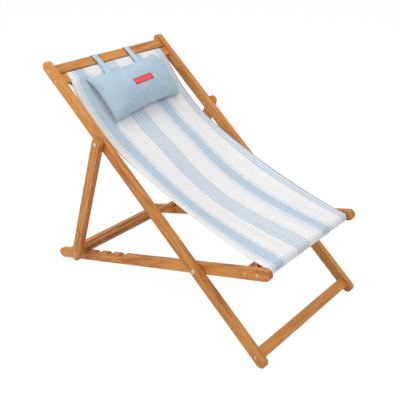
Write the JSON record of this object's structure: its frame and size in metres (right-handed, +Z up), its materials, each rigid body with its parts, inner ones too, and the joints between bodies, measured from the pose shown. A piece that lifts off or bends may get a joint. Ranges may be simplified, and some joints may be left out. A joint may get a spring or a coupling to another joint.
{
  "type": "reclining beach chair",
  "caption": "Folding wooden beach chair of two crossed frames with a notched prop for the recline, a striped cloth sling and a strapped head pillow.",
  "frame": {"origin": "on the ground, below the middle of the chair's box", "axes": "+Z up, +Y to the rear, so a sitter faces -Y, and +X across the chair to the sitter's left"},
  "size_m": [0.627, 1.0238, 0.8047],
  "materials": {
    "wood": "oiled hardwood, satin",
    "steel": "zinc plated",
    "sling_cloth": "woven canvas, off-white with light blue stripes",
    "pillow_cloth": "plain woven light blue canvas"
  },
  "bodies": {
    "seat_frame": {"seat_rail_left": "wood", "seat_rail_right": "wood", "front_slat": "wood", "front_sling_bar": "wood", "rear_slat": "wood", "seat_frame_screws": "steel"},
    "back_frame": {"back_rail_left": "wood", "back_rail_right": "wood", "top_slat": "wood", "upper_sling_bar": "wood", "foot_slat": "wood", "back_frame_screws": "steel", "seat_pivot_bolts": "steel", "seat_pivot_washers": "steel", "seat_pivot_nuts": "steel", "sling": "sling_cloth", "pillow": "pillow_cloth", "pillow_strap_left": "pillow_cloth", "pillow_strap_right": "pillow_cloth"},
    "prop": {"prop_strut_left": "wood", "prop_strut_right": "wood", "prop_crossbar": "wood", "prop_screws": "steel", "prop_pivot_bolts": "steel", "prop_pivot_washers": "steel", "prop_pivot_nuts": "steel"}
  },
  "joints": [
    {"name": "fold", "type": "hinge", "parent": "seat_frame", "child": "back_frame", "pos_m": [0, -0.21984, 0.24125], "axis": [1, 0, 0], "range_deg": [0, 117], "deforming": ["sling"]},
    {"name": "prop_swing", "type": "hinge", "parent": "back_frame", "child": "prop", "pos_m": [0, 0.18932, 0.57655], "axis": [1, 0, 0], "range_deg": [-64.5, 0]}
  ],
  "couplings": [
    {"joint": "prop_swing", "follows": "fold", "ratio": -0.55}
  ]
}
